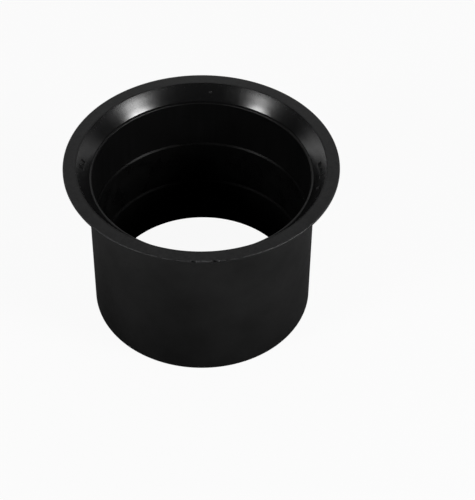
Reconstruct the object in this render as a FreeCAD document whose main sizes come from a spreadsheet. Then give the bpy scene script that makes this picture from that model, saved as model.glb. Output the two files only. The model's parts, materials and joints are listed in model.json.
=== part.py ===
"""Toilet flange: a flanged sleeve that joins a pan's outlet to a 110 mm soil pipe.

The tube end goes down into the pipe's socket until the rim rests on the socket's mouth. The pan's outlet
comes in from above: the lead-in ring guides it past the lip, and one of two stacked rubber rings grips it.
The rubber rings lie in a pocket of the sleeve's wall, between its upper edge and the stop lip at the bottom.
Frame: +Z up along the bore, origin at the centre of the tube's lower end. Millimetres.
"""

import FreeCAD
import Part
import Sketcher

import os
import sys

SHEET = "sizes"

# How near, in millimetres, an edge lies to the place it is looked up by.
SAME_PLACE = 1e-4

# Driving dimensions, each with its meaning.
DRIVING = [
    ("tube_dia", 110.0, "outside of the tube, to suit a 110 mm pipe socket"),
    ("sleeve_wall", 2.0, "wall of the tube and of its flare"),
    ("overall_height", 87.5, "lower end to rim face"),
    ("end_round", 0.8, "outer rounding of the tube's lower end"),
    ("rim_overhang", 11.5, "how far the rim stands out beyond the tube"),
    ("rim_band", 6.0, "width of the flat rim face outside the ring's recess"),
    ("rim_thickness", 1.4, "thickness of the rim"),
    ("rim_round", 0.5, "rounding of the rim's outer edges"),
    ("flare_round", 5.0, "inside radius where the flare leaves the tube"),
    ("lip_width", 0.9, "sleeve lip left showing inside the ring's foot"),
    ("lip_round", 0.6, "rounding of that lip"),
    ("cone_depth", 7.5, "rim face down to the lip"),
    ("ring_land", 0.4, "width of the lead-in ring's top edge"),
    ("ring_skirt", 2.4, "height of the ring's straight outer edge"),
    ("ring_foot", 2.2, "width of the ring's foot"),
    ("ring_gap", 0.1, "clearance between ring and sleeve"),
    ("bead_depth", 0.3, "how far the ring's snap bead stands out"),
    ("bead_width", 1.0, "height of the snap bead"),
    ("edge_break", 0.2, "broken edge on the ring's cone"),
    ("upper_step_depth", 33.6, "rim face down to the upper rubber ring"),
    ("lower_step_depth", 57.8, "rim face down to the lower rubber ring"),
    ("upper_step", 1.0, "how far the upper ring's mouth stands in from the bore"),
    ("upper_taper", 1.4, "how far the upper ring's bore closes in, on the radius"),
    ("lower_step", 0.9, "how far the lower ring's mouth stands in from the upper bore"),
    ("lower_taper", 2.0, "how far the lower ring's bore closes in, on the radius"),
    ("shoulder_land", 0.25, "flat left at the top of the upper ring's shoulder"),
    ("pocket_depth", 0.7, "how far the rubber rings' pocket is cut into the wall"),
    ("seal_gap", 0.05, "clearance round and between the rubber rings"),
    ("pocket_gap", 0.1, "clearance between the pocket's upper edge and the upper ring"),
    ("stop_width", 1.0, "how far the sleeve's stop lip stands into the bore"),
    ("stop_height", 2.2, "height of that stop lip"),
    ("stop_break", 0.4, "broken inner edges of the stop lip"),
    ("tail_height", 4.5, "lower end to the lower ring's narrowest edge"),
    ("tail_round", 0.4, "rounding of that edge"),
]

# Places worked out from the driving dimensions, as expressions that the sketches are bound to.
TOP = f"{SHEET}.overall_height"
TUBE_R = f"({SHEET}.tube_dia / 2)"
BORE_R = f"({TUBE_R} - {SHEET}.sleeve_wall)"
RIM_R = f"({TUBE_R} + {SHEET}.rim_overhang)"
RIM_UNDER = f"({TOP} - {SHEET}.rim_thickness)"
SEAT = f"({TOP} - {SHEET}.cone_depth)"
FOOT_R = f"({BORE_R} + {SHEET}.lip_width)"
RECESS_R = f"({RIM_R} - {SHEET}.rim_band)"
SHELF = f"({TOP} - {SHEET}.ring_skirt)"
SEAT_R = f"({FOOT_R} + {SHEET}.ring_foot + {SHEET}.ring_gap)"
BEAD = f"({TOP} - {SHEET}.ring_skirt / 2)"
BEAD_UPPER = f"({BEAD} + {SHEET}.bead_width / 2)"
BEAD_LOWER = f"({BEAD} - {SHEET}.bead_width / 2)"

# The flare's outside runs parallel to the seat under the ring, one wall away from it.
SEAT_RUN = f"({RECESS_R} - {SEAT_R})"
SEAT_RISE = f"({SHELF} - {SEAT})"
SEAT_SLANT = f"sqrt({SEAT_RUN} * {SEAT_RUN} + {SEAT_RISE} * {SEAT_RISE})"
WALL_ACROSS = f"({SHEET}.sleeve_wall * {SEAT_SLANT})"
FLARE_FOOT = f"({SEAT} - ({WALL_ACROSS} - {SEAT_RISE} * ({TUBE_R} - {SEAT_R})) / {SEAT_RUN})"
FLARE_R = f"({SEAT_R} + ({WALL_ACROSS} + {SEAT_RUN} * ({RIM_UNDER} - {SEAT})) / {SEAT_RISE})"

RING_R = f"({RECESS_R} - {SHEET}.ring_gap)"
MOUTH_R = f"({RING_R} - {SHEET}.ring_land)"
RING_FOOT = f"({SEAT} + {SHEET}.ring_gap)"

POCKET_R = f"({BORE_R} + {SHEET}.pocket_depth)"
POCKET_TOP = f"({TOP} - {SHEET}.upper_step_depth)"
GRIP_R = f"({POCKET_R} - {SHEET}.seal_gap)"
UPPER_TOP = f"({POCKET_TOP} - {SHEET}.pocket_gap)"
LOWER_TOP = f"({TOP} - {SHEET}.lower_step_depth)"
UPPER_FOOT = f"({LOWER_TOP} + {SHEET}.seal_gap)"
LAND_R = f"({BORE_R} - {SHEET}.shoulder_land)"
UPPER_MOUTH_R = f"({BORE_R} - {SHEET}.upper_step)"
UPPER_THROAT_R = f"({UPPER_MOUTH_R} - {SHEET}.upper_taper)"
UPPER_SHOULDER = f"({UPPER_TOP} - ({LAND_R} - {UPPER_MOUTH_R}))"
LOWER_MOUTH_R = f"({UPPER_THROAT_R} - {SHEET}.lower_step)"
LOWER_THROAT_R = f"({LOWER_MOUTH_R} - {SHEET}.lower_taper)"
LOWER_SHOULDER = f"({LOWER_TOP} - {SHEET}.lower_step)"
STOP_R = f"({BORE_R} - {SHEET}.stop_width)"
STOP_TOP = f"{SHEET}.stop_height"
LOWER_FOOT = f"({STOP_TOP} + {SHEET}.seal_gap)"
TAIL = f"{SHEET}.tail_height"


def make_sheet(doc):
    """The spreadsheet of driving dimensions: meaning, value and alias in each row."""
    sheet = doc.addObject("Spreadsheet::Sheet", SHEET)
    for row, (alias, value, meaning) in enumerate(DRIVING, start=1):
        sheet.set(f"A{row}", meaning)
        sheet.set(f"B{row}", str(value))
        sheet.setAlias(f"B{row}", alias)
    doc.recompute()
    return sheet


def length_of(sheet, expression):
    """The value in millimetres of an expression of the sheet's dimensions."""
    return float(sheet.evalExpression(expression))


def origin_feature(body, role):
    """A body's own origin plane or axis."""
    return next(f for f in body.Origin.OriginFeatures if f.Role == role)


def profile_sketch(sheet, body, name, corners):
    """A closed outline in the XZ plane. Each corner's radius and height is bound to an expression."""
    sketch = body.newObject("Sketcher::SketchObject", name)
    sketch.AttachmentSupport = [(origin_feature(body, "XZ_Plane"), "")]
    sketch.MapMode = "FlatFace"
    places = [
        FreeCAD.Vector(length_of(sheet, radius), length_of(sheet, height), 0)
        for radius, height in corners
    ]
    count = len(corners)
    for index, start in enumerate(places):
        sketch.addGeometry(Part.LineSegment(start, places[(index + 1) % count]), False)
    for index in range(count):
        following = (index + 1) % count
        sketch.addConstraint(Sketcher.Constraint("Coincident", index, 2, following, 1))
    for index, (radius, height) in enumerate(corners):
        across = sketch.addConstraint(
            Sketcher.Constraint("DistanceX", -1, 1, index, 1, places[index].x)
        )
        sketch.setExpression(f"Constraints[{across}]", radius)
        if height == "0":
            sketch.addConstraint(Sketcher.Constraint("PointOnObject", index, 1, -1))
            continue
        up = sketch.addConstraint(
            Sketcher.Constraint("DistanceY", -1, 1, index, 1, places[index].y)
        )
        sketch.setExpression(f"Constraints[{up}]", height)
    return sketch


def turned_body(doc, sheet, label, corners):
    """A body turned about +Z from a profile."""
    body = doc.addObject("PartDesign::Body", label)
    body.Label = label
    sketch = profile_sketch(sheet, body, f"{label}_profile", corners)
    turning = body.newObject("PartDesign::Revolution", f"{label}_turning")
    turning.Profile = sketch
    turning.ReferenceAxis = (sketch, ["V_Axis"])
    turning.Angle = 360.0
    doc.recompute()
    return body


def rims_at(sheet, feature, places):
    """Names of the circular edges of a feature at the given (radius, height) places."""
    wanted = [(length_of(sheet, radius), length_of(sheet, height)) for radius, height in places]
    names = []
    for number, edge in enumerate(feature.Shape.Edges, start=1):
        if not isinstance(edge.Curve, Part.Circle):
            continue
        radius, height = edge.Curve.Radius, edge.Curve.Center.z
        if any(abs(radius - r) < SAME_PLACE and abs(height - z) < SAME_PLACE for r, z in wanted):
            names.append(f"Edge{number}")
    return names


def dress(doc, sheet, body, kind, name, size, places):
    """A Fillet or Chamfer on a body's circular edges, its size bound to an alias."""
    base = body.Tip
    feature = body.newObject(f"PartDesign::{kind}", name)
    feature.Base = (base, rims_at(sheet, base, places))
    feature.setExpression("Radius" if kind == "Fillet" else "Size", f"{SHEET}.{size}")
    doc.recompute()
    return feature


def make_sleeve(doc, sheet):
    """Flanged sleeve: tube, flare, rim, the lead-in ring's recess and the rubber rings' pocket."""
    corners = [
        (STOP_R, "0"),
        (TUBE_R, "0"),
        (TUBE_R, FLARE_FOOT),
        (FLARE_R, RIM_UNDER),
        (RIM_R, RIM_UNDER),
        (RIM_R, TOP),
        (RECESS_R, TOP),
        (RECESS_R, BEAD_UPPER),
        (f"({RECESS_R} + {SHEET}.bead_depth)", BEAD),
        (RECESS_R, BEAD_LOWER),
        (RECESS_R, SHELF),
        (SEAT_R, SEAT),
        (BORE_R, SEAT),
        (BORE_R, POCKET_TOP),
        (POCKET_R, POCKET_TOP),
        (POCKET_R, STOP_TOP),
        (STOP_R, STOP_TOP),
    ]
    body = turned_body(doc, sheet, "flanged_sleeve", corners)
    dress(doc, sheet, body, "Fillet", "flare_rounding", "flare_round", [(TUBE_R, FLARE_FOOT)])
    rim_edges = [(RIM_R, TOP), (RIM_R, RIM_UNDER)]
    dress(doc, sheet, body, "Fillet", "rim_rounding", "rim_round", rim_edges)
    dress(doc, sheet, body, "Fillet", "lip_rounding", "lip_round", [(BORE_R, SEAT)])
    dress(doc, sheet, body, "Fillet", "end_rounding", "end_round", [(TUBE_R, "0")])
    stop_edges = [(STOP_R, "0"), (STOP_R, STOP_TOP)]
    dress(doc, sheet, body, "Chamfer", "stop_breaks", "stop_break", stop_edges)
    return body


def make_lead_in_ring(doc, sheet):
    """Lead-in ring: the polished cone that snaps into the rim's recess by a bead."""
    corners = [
        (MOUTH_R, TOP),
        (RING_R, TOP),
        (RING_R, BEAD_UPPER),
        (f"({RING_R} + {SHEET}.bead_depth)", BEAD),
        (RING_R, BEAD_LOWER),
        (RING_R, SHELF),
        (f"({FOOT_R} + {SHEET}.ring_foot)", RING_FOOT),
        (FOOT_R, RING_FOOT),
    ]
    body = turned_body(doc, sheet, "lead_in_ring", corners)
    cone_edges = [(MOUTH_R, TOP), (FOOT_R, RING_FOOT)]
    dress(doc, sheet, body, "Fillet", "cone_edges", "edge_break", cone_edges)
    return body


def make_upper_seal(doc, sheet):
    """Upper rubber ring: a sloped shoulder and a bore that closes in, for the larger pan outlets."""
    corners = [
        (UPPER_THROAT_R, UPPER_FOOT),
        (GRIP_R, UPPER_FOOT),
        (GRIP_R, UPPER_TOP),
        (LAND_R, UPPER_TOP),
        (UPPER_MOUTH_R, UPPER_SHOULDER),
    ]
    return turned_body(doc, sheet, "upper_grip_seal", corners)


def make_lower_seal(doc, sheet):
    """Lower rubber ring: stands on the stop lip, with a narrower bore and a bevelled tail."""
    corners = [
        (STOP_R, LOWER_FOOT),
        (GRIP_R, LOWER_FOOT),
        (GRIP_R, LOWER_TOP),
        (UPPER_THROAT_R, LOWER_TOP),
        (LOWER_MOUTH_R, LOWER_SHOULDER),
        (LOWER_THROAT_R, TAIL),
    ]
    body = turned_body(doc, sheet, "lower_grip_seal", corners)
    dress(doc, sheet, body, "Fillet", "tail_rounding", "tail_round", [(LOWER_THROAT_R, TAIL)])
    return body


def check(doc, bodies):
    """Stops with a message if any object failed or any body is not one valid solid."""
    for item in doc.Objects:
        if "Invalid" in item.State or "Error" in item.State:
            sys.exit(f"{item.Name} failed: {item.State}")
    for body in bodies:
        shape = body.Shape
        if shape.isNull() or not shape.isValid() or len(shape.Solids) != 1:
            sys.exit(f"{body.Label} is not one valid solid")


def main():
    """Builds the document and writes one STEP file for each piece."""
    doc = FreeCAD.newDocument("toilet_flange")
    sheet = make_sheet(doc)
    makers = [make_sleeve, make_lead_in_ring, make_upper_seal, make_lower_seal]
    bodies = [make(doc, sheet) for make in makers]
    doc.recompute()
    check(doc, bodies)
    os.makedirs("parts", exist_ok=True)
    for body in bodies:
        body.Shape.exportStep(f"parts/{body.Label}.step")
        box = body.Shape.BoundBox
        print(f"{body.Label}: {body.Shape.Volume:.0f} mm3, z {box.ZMin:.2f} to {box.ZMax:.2f}")


main()
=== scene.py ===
"""Toilet flange: the looks of a black pan-to-pipe connector, on a plain pale studio floor.

Each piece starts from the cross-section of its own frame node, spun again with many more steps, so its
sizes stay those of the frame. Everything is in metres, +Z up, with the origin at the centre of the tube's
lower end.
"""

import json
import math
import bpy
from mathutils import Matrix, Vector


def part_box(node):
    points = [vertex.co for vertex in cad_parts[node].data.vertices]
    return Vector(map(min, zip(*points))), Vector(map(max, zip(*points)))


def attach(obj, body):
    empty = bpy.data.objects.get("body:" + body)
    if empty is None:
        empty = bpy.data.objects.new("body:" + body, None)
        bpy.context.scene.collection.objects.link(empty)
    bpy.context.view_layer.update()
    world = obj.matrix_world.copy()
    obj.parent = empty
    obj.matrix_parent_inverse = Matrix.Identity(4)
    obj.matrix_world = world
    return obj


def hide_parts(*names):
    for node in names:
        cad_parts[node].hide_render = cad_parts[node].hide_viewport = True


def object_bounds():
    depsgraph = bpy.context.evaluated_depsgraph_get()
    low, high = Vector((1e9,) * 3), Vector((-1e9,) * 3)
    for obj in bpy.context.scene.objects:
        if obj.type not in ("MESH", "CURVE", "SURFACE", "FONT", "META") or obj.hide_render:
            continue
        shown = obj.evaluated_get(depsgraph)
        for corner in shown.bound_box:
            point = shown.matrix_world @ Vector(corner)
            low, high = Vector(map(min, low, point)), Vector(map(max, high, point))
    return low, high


bl_info = {
    "name": "Toilet flange",
    "version": (1, 0, 0),
    "blender": (4, 5, 0),
    "location": "3D View > Sidebar > Flange",
    "description": "Models the flange's sleeve, lead-in ring and grip seals, and sets up the studio",
    "category": "Object",
}

import bpy
from bpy.props import FloatProperty, FloatVectorProperty, IntProperty, PointerProperty
from mathutils import Quaternion, Vector

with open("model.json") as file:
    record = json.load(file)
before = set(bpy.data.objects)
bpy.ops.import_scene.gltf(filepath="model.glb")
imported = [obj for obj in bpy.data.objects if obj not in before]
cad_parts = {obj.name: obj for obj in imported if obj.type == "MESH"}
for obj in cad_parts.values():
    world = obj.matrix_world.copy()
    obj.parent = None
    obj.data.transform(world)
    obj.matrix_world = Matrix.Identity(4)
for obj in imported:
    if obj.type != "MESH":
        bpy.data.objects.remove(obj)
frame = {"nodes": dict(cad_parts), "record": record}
CAD_LOW, CAD_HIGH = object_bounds()
TOP = CAD_HIGH.z
BODY = "root"
MM = 0.001
FULL_TURN = math.tau
MERGE = 0.002 * MM
SMOOTH_BELOW = 35.0

STAGE_HALF = 12.0
FLOOR_DROP = 0.1 * MM
TABLE_DROP = 0.5 * MM
TABLE_SHADE_NEAR = 75 * MM
TABLE_SHADE_FAR = 140 * MM

# How far in from its edge each band reaches: the rim's face, the ring's top, the bore's wall, the rim's edge.
RIM_BAND = 0.6 * MM
LAND_BAND = 0.03 * MM
BORE_BAND = 0.5 * MM
EDGE_BAND = 0.45 * MM
PAD_BORDER = 0.1 * MM
PAD_CLEARANCE = 0.3 * MM

# Material slots. Slot 0 is the sleeve's outside and the ring's cone.
RIM_FACE = 1
BORE_WALL = 2
LAND = 1
SUNK_PAD = 2


# ---------------------------------------------------------------- settings


class StageSettings(bpy.types.PropertyGroup):
    """Camera, floor and lights."""

    sight_elevation: FloatProperty(
        name="Sight elevation", description="Height angle of the camera above the rim's centre",
        default=math.radians(42.15), subtype="ANGLE",
    )
    sight_distance: FloatProperty(
        name="Sight distance", description="From the rim's centre to the camera",
        default=0.768, unit="LENGTH",
    )
    aim_right: FloatProperty(
        name="Aim to the right", description="Where the lens points, right of the bore's axis",
        default=0.0179, unit="LENGTH",
    )
    aim_height: FloatProperty(
        name="Aim height", description="Where the lens points, above the floor",
        default=0.0276, unit="LENGTH",
    )
    roll: FloatProperty(
        name="Roll", description="How far the camera leans about its own line of sight",
        default=math.radians(0.82), subtype="ANGLE",
    )
    lens: FloatProperty(
        name="Lens", description="Focal length in millimetres", default=115.0, unit="CAMERA",
    )
    floor_colour: FloatVectorProperty(
        name="Floor colour", description="What the camera sees as the floor and backdrop",
        default=(0.965, 0.965, 0.965), subtype="COLOR", size=3,
    )
    bounce_colour: FloatVectorProperty(
        name="Bounce colour", description="The grey table that lights the part from below",
        default=(0.46, 0.46, 0.46), subtype="COLOR", size=3,
    )
    sky_strength: FloatProperty(
        name="Sky strength", description="Even light from all around", default=0.03, min=0.0,
    )


class SleeveSettings(bpy.types.PropertyGroup):
    """The moulded sleeve."""

    steps: IntProperty(name="Steps", description="Faces round the sleeve", default=720, min=64)
    colour: FloatVectorProperty(
        name="Colour", description="Black of the moulded plastic", default=(0.0032, 0.0032, 0.0033),
        subtype="COLOR", size=3,
    )
    rim_colour: FloatVectorProperty(
        name="Rim colour", description="The rim's matte, slightly greyer face",
        default=(0.0075, 0.0075, 0.0078), subtype="COLOR", size=3,
    )
    grain: FloatProperty(
        name="Grain", description="Size of the moulded grain", default=0.4 * MM, unit="LENGTH",
    )


class RingSettings(bpy.types.PropertyGroup):
    """The polished lead-in ring."""

    steps: IntProperty(name="Steps", description="Faces round the ring", default=720, min=64)
    colour: FloatVectorProperty(
        name="Colour", description="Black of the polished plastic", default=(0.005, 0.005, 0.0052),
        subtype="COLOR", size=3,
    )
    polish: FloatProperty(
        name="Polish", description="Roughness of the polished cone",
        default=0.22, min=0.0, max=1.0, subtype="FACTOR",
    )


class SealSettings(bpy.types.PropertyGroup):
    """The two rubber rings."""

    steps: IntProperty(name="Steps", description="Faces round each rubber ring", default=360, min=64)
    colour: FloatVectorProperty(
        name="Colour", description="Black of the sealing rubber", default=(0.0035, 0.0035, 0.0035),
        subtype="COLOR", size=3,
    )


class FlangeSettings(bpy.types.PropertyGroup):
    """All the flange's settings."""

    stage: PointerProperty(type=StageSettings)
    sleeve: PointerProperty(type=SleeveSettings)
    ring: PointerProperty(type=RingSettings)
    seal: PointerProperty(type=SealSettings)


def settings():
    """The scene's settings for the flange."""
    return bpy.context.scene.flange


# ---------------------------------------------------------------- modelling by hand


def choose_nothing():
    """Leaves edit mode and deselects every object."""
    if bpy.context.object and bpy.context.object.mode != "OBJECT":
        bpy.ops.object.mode_set(mode="OBJECT")
    bpy.ops.object.select_all(action="DESELECT")


def choose(piece):
    """Makes a piece the only selected and active object."""
    choose_nothing()
    piece.select_set(True)
    bpy.context.view_layer.objects.active = piece


def edit(piece, mode):
    """Opens a piece in edit mode with nothing selected, in vertex or face mode."""
    choose(piece)
    bpy.ops.object.mode_set(mode="EDIT")
    bpy.ops.mesh.select_mode(type=mode)
    bpy.ops.mesh.select_all(action="DESELECT")


def pick(piece, kind, wanted):
    """Selects the vertices or faces of an edited piece for which wanted(item) is true, and counts them."""
    bpy.ops.mesh.select_all(action="DESELECT")
    bpy.ops.object.mode_set(mode="OBJECT")
    items = piece.data.vertices if kind == "VERT" else piece.data.polygons
    found = 0
    for item in items:
        item.select = bool(wanted(item))
        found += item.select
    bpy.ops.object.mode_set(mode="EDIT")
    return found


def spun_piece(node, name, steps):
    """A finer copy of a round node: its own cross-section, spun about the bore's axis."""
    source = frame["nodes"][node]
    choose_nothing()
    piece = source.copy()
    piece.data = source.data.copy()
    piece.name = name
    piece.data.name = name
    for key in list(piece.keys()):
        del piece[key]
    piece.parent = None
    bpy.context.scene.collection.objects.link(piece)
    choose(piece)
    if piece.data.has_custom_normals:
        bpy.ops.mesh.customdata_custom_splitnormals_clear()
    edit(piece, "VERT")
    bpy.ops.mesh.select_all(action="SELECT")
    bpy.ops.mesh.remove_doubles(threshold=MERGE)
    pick(piece, "VERT", lambda vertex: abs(vertex.co.y) > MERGE or vertex.co.x < 0)
    bpy.ops.mesh.delete(type="VERT")
    bpy.ops.object.mode_set(mode="OBJECT")
    if not piece.data.edges:
        raise RuntimeError(f"{node} has no cross-section to spin")
    edit(piece, "VERT")
    bpy.ops.mesh.select_all(action="SELECT")
    bpy.ops.mesh.delete(type="ONLY_FACE")
    bpy.ops.mesh.select_all(action="SELECT")
    bpy.ops.mesh.spin(steps=steps, angle=FULL_TURN, center=(0, 0, 0), axis=(0, 0, 1))
    bpy.ops.mesh.select_all(action="SELECT")
    bpy.ops.mesh.remove_doubles(threshold=MERGE)
    bpy.ops.mesh.normals_make_consistent(inside=False)
    bpy.ops.object.mode_set(mode="OBJECT")
    piece.data.materials.clear()
    return piece


def smooth(piece):
    """Shades a piece smoothly, except across edges sharper than SMOOTH_BELOW degrees."""
    choose(piece)
    bpy.ops.object.shade_smooth_by_angle(angle=math.radians(SMOOTH_BELOW))


def deliver(piece, node):
    """Puts a finished piece on the frame in place of its node."""
    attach(piece, BODY)
    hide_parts(node)


# ---------------------------------------------------------------- materials


def new_material(name, colour):
    """A principled material with its node tree, shader and object coordinates."""
    material = bpy.data.materials.new(name)
    material.use_nodes = True
    material.diffuse_color = (*colour, 1.0)
    tree = material.node_tree
    shader = tree.nodes["Principled BSDF"]
    place = tree.nodes.new("ShaderNodeTexCoord")
    return material, tree, shader, place.outputs["Object"]


def noise(tree, place, size, detail=2.0, roughness=0.5, stretch=(1.0, 1.0, 1.0)):
    """Noise whose features are about size metres across, stretched along each axis."""
    mapping = tree.nodes.new("ShaderNodeMapping")
    mapping.inputs["Scale"].default_value = tuple(1.0 / (size * s) for s in stretch)
    texture = tree.nodes.new("ShaderNodeTexNoise")
    texture.inputs["Scale"].default_value = 1.0
    texture.inputs["Detail"].default_value = detail
    texture.inputs["Roughness"].default_value = roughness
    tree.links.new(place, mapping.inputs["Vector"])
    tree.links.new(mapping.outputs["Vector"], texture.inputs["Vector"])
    return texture.outputs["Fac"]


def flat(tree, place):
    """A place with its height left out."""
    node = tree.nodes.new("ShaderNodeVectorMath")
    node.operation = "MULTIPLY"
    node.inputs[1].default_value = (1.0, 1.0, 0.0)
    tree.links.new(place, node.inputs[0])
    return node.outputs["Vector"]


def around(tree, place):
    """A coordinate that changes only round the bore: the unit circle's x and y."""
    unit = tree.nodes.new("ShaderNodeVectorMath")
    unit.operation = "NORMALIZE"
    tree.links.new(flat(tree, place), unit.inputs[0])
    return unit.outputs["Vector"]


def reach(tree, place):
    """Distance from the bore's axis."""
    length = tree.nodes.new("ShaderNodeVectorMath")
    length.operation = "LENGTH"
    tree.links.new(flat(tree, place), length.inputs[0])
    return length.outputs["Value"]


def height_of(tree, place):
    """Height above the tube's lower end."""
    split = tree.nodes.new("ShaderNodeSeparateXYZ")
    tree.links.new(place, split.inputs["Vector"])
    return split.outputs["Z"]


def combine(tree, operation, first, second):
    """Arithmetic on two values."""
    node = tree.nodes.new("ShaderNodeMath")
    node.operation = operation
    tree.links.new(first, node.inputs[0])
    tree.links.new(second, node.inputs[1])
    return node.outputs["Value"]


def levels(tree, value, low, high, to_low, to_high):
    """Maps low..high of a value onto to_low..to_high, clamped."""
    node = tree.nodes.new("ShaderNodeMapRange")
    for socket, number in zip(("From Min", "From Max", "To Min", "To Max"), (low, high, to_low, to_high)):
        node.inputs[socket].default_value = number
    tree.links.new(value, node.inputs["Value"])
    return node.outputs["Result"]


def over(tree, noise_value, low, high):
    """Stretches a noise, which mostly lies between 0.3 and 0.7, over low..high."""
    return levels(tree, noise_value, 0.3, 0.7, low, high)


def blend_colours(tree, factor, first, second):
    """A mix of two colours, or of a colour and another mix, by a factor."""
    node = tree.nodes.new("ShaderNodeMix")
    node.data_type = "RGBA"
    tree.links.new(factor, node.inputs["Factor"])
    for socket, value in ((node.inputs["A"], first), (node.inputs["B"], second)):
        if isinstance(value, bpy.types.NodeSocket):
            tree.links.new(value, socket)
        else:
            socket.default_value = (*value, 1.0)
    return node.outputs["Result"]


def bumps(tree, shader, *layers):
    """Chains bump layers of (height, depth in metres, strength) into a shader's normal."""
    previous = None
    for height, depth, strength in layers:
        node = tree.nodes.new("ShaderNodeBump")
        node.inputs["Distance"].default_value = depth
        node.inputs["Strength"].default_value = strength
        tree.links.new(height, node.inputs["Height"])
        if previous:
            tree.links.new(previous, node.inputs["Normal"])
        previous = node.outputs["Normal"]
    tree.links.new(previous, shader.inputs["Normal"])


def lighter(colour, times):
    """A colour, lighter or darker."""
    return tuple(channel * times for channel in colour)


def satin_plastic(name, colour, roughness, spread, grain):
    """Moulded black plastic: fine grain, soft mottling and uneven gloss."""
    material, tree, shader, place = new_material(name, colour)
    mottle = noise(tree, place, 16 * MM, detail=4.0, roughness=0.55)
    flecks = noise(tree, place, 0.9 * MM, detail=1.0)
    tone = over(tree, mottle, 0.0, 1.0)
    base = blend_colours(tree, tone, lighter(colour, 0.7), lighter(colour, 1.35))
    specks = levels(tree, flecks, 0.72, 0.8, 0.0, 0.6)
    tree.links.new(blend_colours(tree, specks, base, lighter(colour, 2.2)), shader.inputs["Base Color"])
    gloss = noise(tree, place, 20 * MM, detail=5.0, roughness=0.6)
    tree.links.new(over(tree, gloss, roughness - spread, roughness + spread), shader.inputs["Roughness"])
    sheen = noise(tree, place, 42 * MM, detail=3.0, roughness=0.5)
    tree.links.new(levels(tree, sheen, 0.32, 0.68, 0.34, 0.62), shader.inputs["Specular IOR Level"])
    shader.inputs["IOR"].default_value = 1.49
    fine = noise(tree, place, grain, detail=3.0)
    swell = noise(tree, place, 14 * MM, detail=1.0)
    bumps(tree, shader, (fine, 0.02 * MM, 0.35), (swell, 0.12 * MM, 0.6))
    return material


def nearness(tree, place, point, near, far):
    """One within near of a point, falling to nothing at far."""
    node = tree.nodes.new("ShaderNodeVectorMath")
    node.operation = "DISTANCE"
    node.inputs[1].default_value = point
    tree.links.new(place, node.inputs[0])
    return levels(tree, node.outputs["Value"], near, far, 1.0, 0.0)


def scuffed_plastic(name, colour, roughness, grain, edge):
    """Matte, grained plastic with fine scratches, paler towards its edge radius and most at the front: partly
    edge wear, partly a painted highlight along the front edge.
    """
    material, tree, shader, place = new_material(name, colour)
    cloud = noise(tree, place, 5 * MM, detail=6.0, roughness=0.75)
    tone = over(tree, cloud, 0.0, 1.0)
    base = blend_colours(tree, tone, lighter(colour, 0.4), lighter(colour, 1.7))
    long_marks = noise(tree, place, 0.35 * MM, detail=2.0, stretch=(14.0, 1.0, 1.0))
    cross_marks = noise(tree, place, 0.35 * MM, detail=2.0, stretch=(1.0, 11.0, 1.0))
    scratches = combine(
        tree, "MAXIMUM",
        levels(tree, long_marks, 0.66, 0.74, 0.0, 0.7),
        levels(tree, cross_marks, 0.67, 0.75, 0.0, 0.6),
    )
    base = blend_colours(tree, scratches, base, lighter(colour, 2.6))
    # Paler band along the rim's edge radius, patchy by noise: partly edge wear, partly a painted highlight.
    edge_wear_and_highlight = combine(
        tree, "MULTIPLY",
        levels(tree, reach(tree, place), edge - 0.9 * MM, edge - 0.3 * MM, 0.0, 1.0),
        levels(tree, noise(tree, place, 2.2 * MM, detail=4.0, roughness=0.7), 0.42, 0.6, 0.0, 1.0),
    )
    pores = noise(tree, place, 1.1 * MM, detail=3.0, roughness=0.65)
    sheen = combine(tree, "ADD", over(tree, pores, 0.42, 0.58), over(tree, cloud, -0.05, 0.05))
    tree.links.new(sheen, shader.inputs["Specular IOR Level"])
    # Paler still at the front of the edge: painted highlight there, with wear round the knocks.
    front = nearness(tree, place, (1.5 * MM, -edge, TOP), 5 * MM, 9 * MM)
    front_wear_and_highlight = combine(tree, "MULTIPLY", edge_wear_and_highlight, front)
    base = blend_colours(tree, edge_wear_and_highlight, base, lighter(colour, 3.5))
    tree.links.new(blend_colours(tree, front_wear_and_highlight, base, lighter(colour, 7.0)), shader.inputs["Base Color"])
    tree.links.new(over(tree, cloud, roughness - 0.06, roughness + 0.06), shader.inputs["Roughness"])
    shader.inputs["IOR"].default_value = 1.49
    fine = noise(tree, place, grain, detail=3.0)
    bumps(tree, shader, (fine, 0.02 * MM, 0.7), (scratches, 0.02 * MM, 0.6), (cloud, 0.08 * MM, 0.6))
    return material


def drawn_plastic(name, colour, roughness):
    """The bore's wall: smooth, with fine draw marks that run up and down."""
    material, tree, shader, place = new_material(name, colour)
    streaks = noise(tree, place, 0.9 * MM, detail=3.0, stretch=(1.0, 1.0, 40.0))
    tone = over(tree, streaks, 0.0, 1.0)
    base = blend_colours(tree, tone, lighter(colour, 0.7), lighter(colour, 1.3))
    tree.links.new(base, shader.inputs["Base Color"])
    tree.links.new(over(tree, streaks, roughness - 0.04, roughness + 0.04), shader.inputs["Roughness"])
    shader.inputs["IOR"].default_value = 1.4
    bumps(tree, shader, (streaks, 0.004 * MM, 0.15))
    return material


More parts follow.
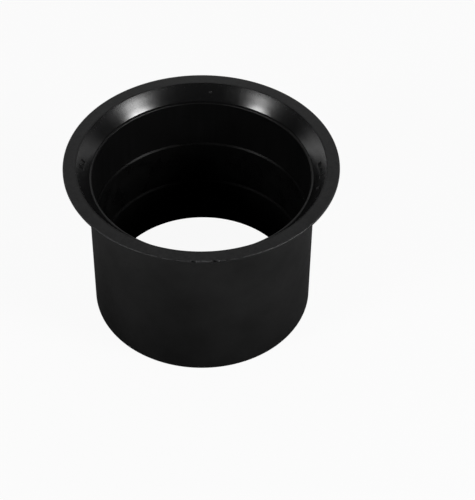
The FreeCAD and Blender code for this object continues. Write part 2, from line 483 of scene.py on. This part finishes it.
def polished_plastic(name, colour, polish, foot, top):
    """Polished black plastic: hazier up the cone from foot to top, burnished along its upper edge."""
    material, tree, shader, place = new_material(name, colour)
    turn = around(tree, place)
    streaks = noise(tree, turn, 0.02, detail=3.0, roughness=0.55)
    bands = noise(tree, turn, 0.12, detail=2.0)
    haze = noise(tree, place, 2.4 * MM, detail=4.0, roughness=0.65)
    dust = noise(tree, place, 0.6 * MM, detail=1.0)
    specks = levels(tree, dust, 0.76, 0.82, 0.0, 1.0)
    base = blend_colours(tree, specks, colour, lighter(colour, 4.0))
    tree.links.new(base, shader.inputs["Base Color"])
    level = height_of(tree, place)
    climb = levels(tree, level, foot, top, polish - 0.04, polish + 0.05)
    burnish = levels(tree, level, top - 0.45 * MM, top - 0.25 * MM, 0.0, -0.03)
    patches = combine(tree, "ADD", over(tree, haze, -0.02, 0.03), over(tree, streaks, -0.01, 0.01))
    gloss = combine(tree, "ADD", combine(tree, "ADD", climb, burnish), patches)
    tree.links.new(gloss, shader.inputs["Roughness"])
    shader.inputs["IOR"].default_value = 1.5
    bumps(tree, shader, (bands, 0.05 * MM, 0.3), (streaks, 0.003 * MM, 0.3), (haze, 0.004 * MM, 0.4))
    return material


def dull_skin(name, colour, roughness, sheen):
    """A dull, fine-skinned black for the rubber and for sunk pads; sheen is its index of refraction."""
    material, tree, shader, place = new_material(name, colour)
    skin = noise(tree, place, 0.35 * MM, detail=3.0)
    cloud = noise(tree, place, 8 * MM, detail=3.0)
    tone = over(tree, cloud, 0.0, 1.0)
    base = blend_colours(tree, tone, lighter(colour, 0.7), lighter(colour, 1.5))
    tree.links.new(base, shader.inputs["Base Color"])
    tree.links.new(over(tree, cloud, roughness - 0.05, roughness + 0.05), shader.inputs["Roughness"])
    shader.inputs["IOR"].default_value = sheen
    bumps(tree, shader, (skin, 0.015 * MM, 0.3))
    return material


# ---------------------------------------------------------------- operators


class FLANGE_OT_stage(bpy.types.Operator):
    """Places the camera, the pale floor and the soft lights"""

    bl_idname = "flange.stage"
    bl_label = "Set up the studio"

    def execute(self, context):
        chosen = settings().stage
        place_camera(context.scene, chosen)
        lay_floor(chosen)
        hang_lights()
        world = bpy.data.worlds.new("studio")
        world.use_nodes = True
        background = world.node_tree.nodes["Background"]
        background.inputs["Color"].default_value = (1.0, 1.0, 1.0, 1.0)
        background.inputs["Strength"].default_value = chosen.sky_strength
        context.scene.world = world
        context.scene.view_settings.view_transform = "Standard"
        return {"FINISHED"}


def place_camera(scene, chosen):
    """A camera in front of the part, looking down past the rim."""
    data = bpy.data.cameras.new("camera")
    camera = bpy.data.objects.new("camera", data)
    scene.collection.objects.link(camera)
    scene.camera = camera
    data.lens = chosen.lens
    data.clip_start = 0.05
    data.clip_end = 50.0
    out = Vector((0.0, -math.cos(chosen.sight_elevation), math.sin(chosen.sight_elevation)))
    camera.location = Vector((0.0, 0.0, TOP)) + out * chosen.sight_distance
    sight = Vector((chosen.aim_right, 0.0, chosen.aim_height)) - camera.location
    camera.rotation_mode = "QUATERNION"
    lean = Quaternion((0.0, 0.0, 1.0), chosen.roll)
    camera.rotation_quaternion = sight.to_track_quat("-Z", "Y") @ lean


def plain_emitter(name, colour, glow, matte):
    """A floor's material: it glows by itself, and its matte part takes the shadows."""
    material = bpy.data.materials.new(name)
    material.use_nodes = True
    shader = material.node_tree.nodes["Principled BSDF"]
    shader.inputs["Base Color"].default_value = (*lighter(colour, matte), 1.0)
    shader.inputs["Roughness"].default_value = 0.9
    shader.inputs["Specular IOR Level"].default_value = 0.0
    shader.inputs["Emission Color"].default_value = (*colour, 1.0)
    shader.inputs["Emission Strength"].default_value = glow
    return material


def plane(name, half, height, material):
    """A flat stage plane centred under the part."""
    choose_nothing()
    bpy.ops.mesh.primitive_plane_add(size=2 * half, location=(0, 0, height))
    made = bpy.context.object
    made.name = name
    made.data.materials.append(material)
    return made


def paint_contact_shadow(material, colour, near, far, near_share):
    """Paints a contact shadow on a table: darkens its colour from far to near the bore's axis, down to
    near_share of itself.
    """
    tree = material.node_tree
    place = tree.nodes.new("ShaderNodeTexCoord").outputs["Object"]
    length = tree.nodes.new("ShaderNodeVectorMath")
    length.operation = "LENGTH"
    tree.links.new(place, length.inputs[0])
    share = levels(tree, length.outputs["Value"], near, far, 0.0, 1.0)
    base = blend_colours(tree, share, lighter(colour, near_share), colour)
    tree.links.new(base, tree.nodes["Principled BSDF"].inputs["Base Color"])


def lay_floor(chosen):
    """The pale floor that the camera sees, and the grey table that the part sees."""
    pale = plain_emitter("floor_pale", chosen.floor_colour, glow=0.97, matte=0.05)
    floor = plane("floor", STAGE_HALF, -FLOOR_DROP, pale)
    floor.visible_diffuse = False
    floor.visible_glossy = False
    floor.visible_shadow = False
    grey = plain_emitter("table_grey", chosen.bounce_colour, glow=0.0, matte=1.0)
    # Painted contact shadow on the grey table, darkest near the part.
    paint_contact_shadow(grey, tuple(chosen.bounce_colour), TABLE_SHADE_NEAR, TABLE_SHADE_FAR, near_share=0.35)
    table = plane("bounce_table", STAGE_HALF, -TABLE_DROP, grey)
    table.visible_camera = False


def feather(light, softness):
    """Fades a light's glow towards its edges: softness 0 leaves it even, 1 fades it from the middle."""
    light.use_nodes = True
    tree = light.node_tree
    emission = tree.nodes["Emission"]
    across = tree.nodes.new("ShaderNodeNewGeometry").outputs["Parametric"]
    centred = tree.nodes.new("ShaderNodeVectorMath")
    centred.operation = "MULTIPLY_ADD"
    centred.inputs[1].default_value = (2.0, 2.0, 0.0)
    centred.inputs[2].default_value = (-1.0, -1.0, 0.0)
    tree.links.new(across, centred.inputs[0])
    length = tree.nodes.new("ShaderNodeVectorMath")
    length.operation = "LENGTH"
    tree.links.new(centred.outputs["Vector"], length.inputs[0])
    fade = tree.nodes.new("ShaderNodeMapRange")
    fade.interpolation_type = "SMOOTHSTEP"
    fade.inputs["From Min"].default_value = 1.0 - softness
    fade.inputs["From Max"].default_value = 1.0
    fade.inputs["To Min"].default_value = 1.0
    fade.inputs["To Max"].default_value = 0.0
    tree.links.new(length.outputs["Value"], fade.inputs["Value"])
    tree.links.new(fade.outputs["Result"], emission.inputs["Strength"])


def soft_light(name, azimuth, elevation, distance, width, height, radiance, softness):
    """A soft light that faces the rim, placed by degrees. Azimuth 0 is in front, 90 to the right."""
    data = bpy.data.lights.new(name, "AREA")
    data.shape = "RECTANGLE"
    data.size = width
    data.size_y = height
    data.energy = radiance * math.pi * width * height
    light = bpy.data.objects.new(name, data)
    bpy.context.scene.collection.objects.link(light)
    turn, tilt = math.radians(azimuth), math.radians(elevation)
    out = Vector((math.sin(turn) * math.cos(tilt), -math.cos(turn) * math.cos(tilt), math.sin(tilt)))
    light.location = Vector((0.0, 0.0, TOP)) + out * distance
    light.rotation_mode = "QUATERNION"
    light.rotation_quaternion = (-out).to_track_quat("-Z", "Y")
    light.visible_camera = False
    feather(data, softness)


# Name; azimuth and elevation in degrees; distance, width and height in metres; radiance; softness.
LIGHTS = (
    ("softbox_left", -57.0, 27.0, 0.9, 0.36, 0.32, 33.0, 0.9),
    ("softbox_right", 62.5, 26.0, 0.9, 0.50, 0.32, 34.0, 0.8),
    ("overhead", 180.0, 33.0, 1.2, 1.6, 0.8, 1.35, 0.9),
    ("card_left", -128.0, 4.0, 1.3, 1.9, 0.8, 1.5, 0.8),
    ("card_right", 130.0, 4.0, 1.3, 1.9, 0.8, 0.74, 0.8),
)


def hang_lights():
    """Hangs two front softboxes, a high light behind, and two low cards at the sides of the back."""
    for name, azimuth, elevation, distance, width, height, radiance, softness in LIGHTS:
        soft_light(name, azimuth, elevation, distance, width, height, radiance, softness)


# Knocks along the rim's front edge: place and width in degrees round the rim, depth and drop in millimetres.
RIM_KNOCKS = (
    (249.5, 0.8, 0.12, 0.15),
    (254.0, 1.2, 0.10, 0.10),
    (260.5, 0.7, 0.15, 0.20),
    (266.3, 1.4, 0.70, 0.45),
    (268.0, 0.8, 0.30, 0.30),
    (271.0, 1.6, 0.12, 0.12),
    (275.2, 1.4, 0.70, 0.45),
    (277.2, 0.8, 0.35, 0.25),
    (279.5, 0.8, 0.15, 0.15),
    (285.0, 1.0, 0.12, 0.10),
)


class FLANGE_OT_sleeve(bpy.types.Operator):
    """Models the flanged sleeve: matte, knocked rim, satin outside and drawn bore"""

    bl_idname = "flange.sleeve"
    bl_label = "Make the sleeve"

    def execute(self, context):
        chosen = settings().sleeve
        piece = spun_piece("flanged_sleeve", "sleeve", chosen.steps)
        rim_outside = CAD_HIGH.x
        knock_rim(piece, rim_outside)
        rim_colour = tuple(chosen.rim_colour)
        materials = [
            satin_plastic("sleeve_satin", tuple(chosen.colour), 0.45, 0.07, chosen.grain),
            scuffed_plastic("rim_matte", rim_colour, 0.52, chosen.grain, rim_outside),
            drawn_plastic("bore_drawn", tuple(chosen.colour), 0.4),
        ]
        for material in materials:
            piece.data.materials.append(material)
        rim_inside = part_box("lead_in_ring")[1].x
        bore = frame_mount("pan_outlet_bore")["dims"]["r_mm"] * MM
        for face in piece.data.polygons:
            across = face.center.xy.length
            if face.center.z > TOP - RIM_BAND and across > rim_inside:
                face.material_index = RIM_FACE
            elif across < bore + BORE_BAND and faces_inward(face):
                face.material_index = BORE_WALL
        smooth(piece)
        deliver(piece, "flanged_sleeve")
        return {"FINISHED"}


def faces_inward(face):
    """Whether a face looks towards the bore's axis."""
    return face.normal.xy.dot(face.center.xy) < 0


def turn_of(place):
    """How far round the bore's axis a point lies, in degrees from 0 to 360."""
    return math.degrees(math.atan2(place.y, place.x)) % 360.0


def knock_rim(piece, edge):
    """Dents the rounded upper edge of the rim in a few places."""
    edit(piece, "VERT")
    for angle, width, depth, drop in RIM_KNOCKS:

        def on_knock(vertex, angle=angle, width=width):
            near_edge = vertex.co.z > TOP - EDGE_BAND and vertex.co.xy.length > edge - EDGE_BAND
            return near_edge and abs(turn_of(vertex.co) - angle) < width / 2

        if not pick(piece, "VERT", on_knock):
            raise RuntimeError(f"no rim edge to knock at {angle} degrees")
        turn = math.radians(angle)
        inward = (-math.cos(turn) * depth * MM, -math.sin(turn) * depth * MM, -drop * MM)
        bpy.ops.transform.translate(value=inward)
    bpy.ops.object.mode_set(mode="OBJECT")


def frame_mount(name):
    """A mount of the frame's record, by name."""
    return next(mount for mount in frame["record"]["mounts"] if mount["name"] == name)


# Small moulded pads on the cone: start and end in degrees round it, upper and lower edge as shares of the way
# down it, and how far each stands out in millimetres, less than nothing where it is sunk.
CONE_PADS = (
    (0.0, 3.5, 0.36, 0.62, -0.12),
    (355.0, 359.0, 0.31, 0.56, -0.12),
    (351.5, 354.0, 0.22, 0.50, -0.12),
    (344.0, 346.0, 0.40, 0.56, 0.18),
    (174.0, 175.5, 0.30, 0.62, -0.12),
    (176.5, 178.0, 0.38, 0.56, -0.12),
    (178.5, 181.0, 0.22, 0.54, -0.12),
    (84.5, 86.0, 0.42, 0.54, 0.15),
)


class FLANGE_OT_lead_in_ring(bpy.types.Operator):
    """Models the polished lead-in ring, with its small moulded pads"""

    bl_idname = "flange.lead_in_ring"
    bl_label = "Make the lead-in ring"

    def execute(self, context):
        chosen = settings().ring
        piece = spun_piece("lead_in_ring", "lead_in_ring_polished", chosen.steps)
        low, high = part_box("lead_in_ring")
        rim = settings().sleeve
        materials = [
            polished_plastic("ring_polished", tuple(chosen.colour), chosen.polish, low.z, high.z),
            satin_plastic("ring_land", tuple(rim.rim_colour), 0.52, 0.05, rim.grain),
            dull_skin("ring_pad", tuple(rim.colour), 0.6, 1.25),
        ]
        for material in materials:
            piece.data.materials.append(material)
        raise_pads(piece, low.z, high.z)
        for face in piece.data.polygons:
            if face.center.z > TOP - LAND_BAND:
                face.material_index = LAND
        smooth(piece)
        deliver(piece, "lead_in_ring")
        return {"FINISHED"}


def raise_pads(piece, foot, top):
    """Raises or sinks the small matte pads on the cone's face, with a sloping edge round each."""
    edit(piece, "FACE")
    for start, end, upper, lower, stand in CONE_PADS:
        high = top - upper * (top - foot)
        low = top - lower * (top - foot)

        def on_cone(face, start=start, end=end):
            slopes = face.normal.z > 0.3 and faces_inward(face) and face.center.z < top - PAD_CLEARANCE
            return slopes and start < turn_of(face.center) < end

        def on_pad(face, on_cone=on_cone, low=low, high=high):
            return on_cone(face) and low < face.center.z < high

        for level in (high, low):
            pick(piece, "FACE", on_cone)
            bpy.ops.mesh.bisect(plane_co=(0, 0, level), plane_no=(0, 0, 1))
        if not pick(piece, "FACE", on_pad):
            raise RuntimeError(f"no face on the cone for the pad at {start} degrees")
        bpy.ops.mesh.inset(thickness=PAD_BORDER, depth=stand * MM, use_even_offset=True)
        piece.active_material_index = SUNK_PAD if stand < 0 else LAND
        bpy.ops.object.material_slot_assign()
    bpy.ops.object.mode_set(mode="OBJECT")


# Each rubber ring's node, roughness and sheen. The lower one is duller.
SEAL_SKINS = (
    ("upper_grip_seal", 0.29, 1.25),
    ("lower_grip_seal", 0.55, 1.18),
)


class FLANGE_OT_grip_seals(bpy.types.Operator):
    """Models the two rubber rings in the bore"""

    bl_idname = "flange.grip_seals"
    bl_label = "Make the grip seals"

    def execute(self, context):
        chosen = settings().seal
        for node, roughness, sheen in SEAL_SKINS:
            piece = spun_piece(node, f"{node}_rubber", chosen.steps)
            piece.data.materials.append(dull_skin(f"{node}_skin", tuple(chosen.colour), roughness, sheen))
            smooth(piece)
            deliver(piece, node)
        return {"FINISHED"}


class FLANGE_PT_panel(bpy.types.Panel):
    """The flange's settings and steps"""

    bl_idname = "FLANGE_PT_panel"
    bl_label = "Toilet flange"
    bl_space_type = "VIEW_3D"
    bl_region_type = "UI"
    bl_category = "Flange"

    def draw(self, context):
        for operator in OPERATORS:
            self.layout.operator(operator.bl_idname)
        chosen = context.scene.flange
        for group in (chosen.stage, chosen.sleeve, chosen.ring, chosen.seal):
            box = self.layout.box()
            for name in group.bl_rna.properties.keys():
                if name not in ("name", "rna_type"):
                    box.prop(group, name)


OPERATORS = (FLANGE_OT_stage, FLANGE_OT_sleeve, FLANGE_OT_lead_in_ring, FLANGE_OT_grip_seals)
SETTINGS = (StageSettings, SleeveSettings, RingSettings, SealSettings, FlangeSettings)
CLASSES = (*SETTINGS, *OPERATORS, FLANGE_PT_panel)


def register():
    """Registers the classes and the scene's settings."""
    for item in CLASSES:
        bpy.utils.register_class(item)
    bpy.types.Scene.flange = PointerProperty(type=FlangeSettings)


def unregister():
    """Removes the settings and the classes."""
    del bpy.types.Scene.flange
    for item in reversed(CLASSES):
        bpy.utils.unregister_class(item)


def main():
    register()
    bpy.ops.flange.stage()
    bpy.ops.flange.sleeve()
    bpy.ops.flange.lead_in_ring()
    bpy.ops.flange.grip_seals()


if __name__ == "__main__":
    main()
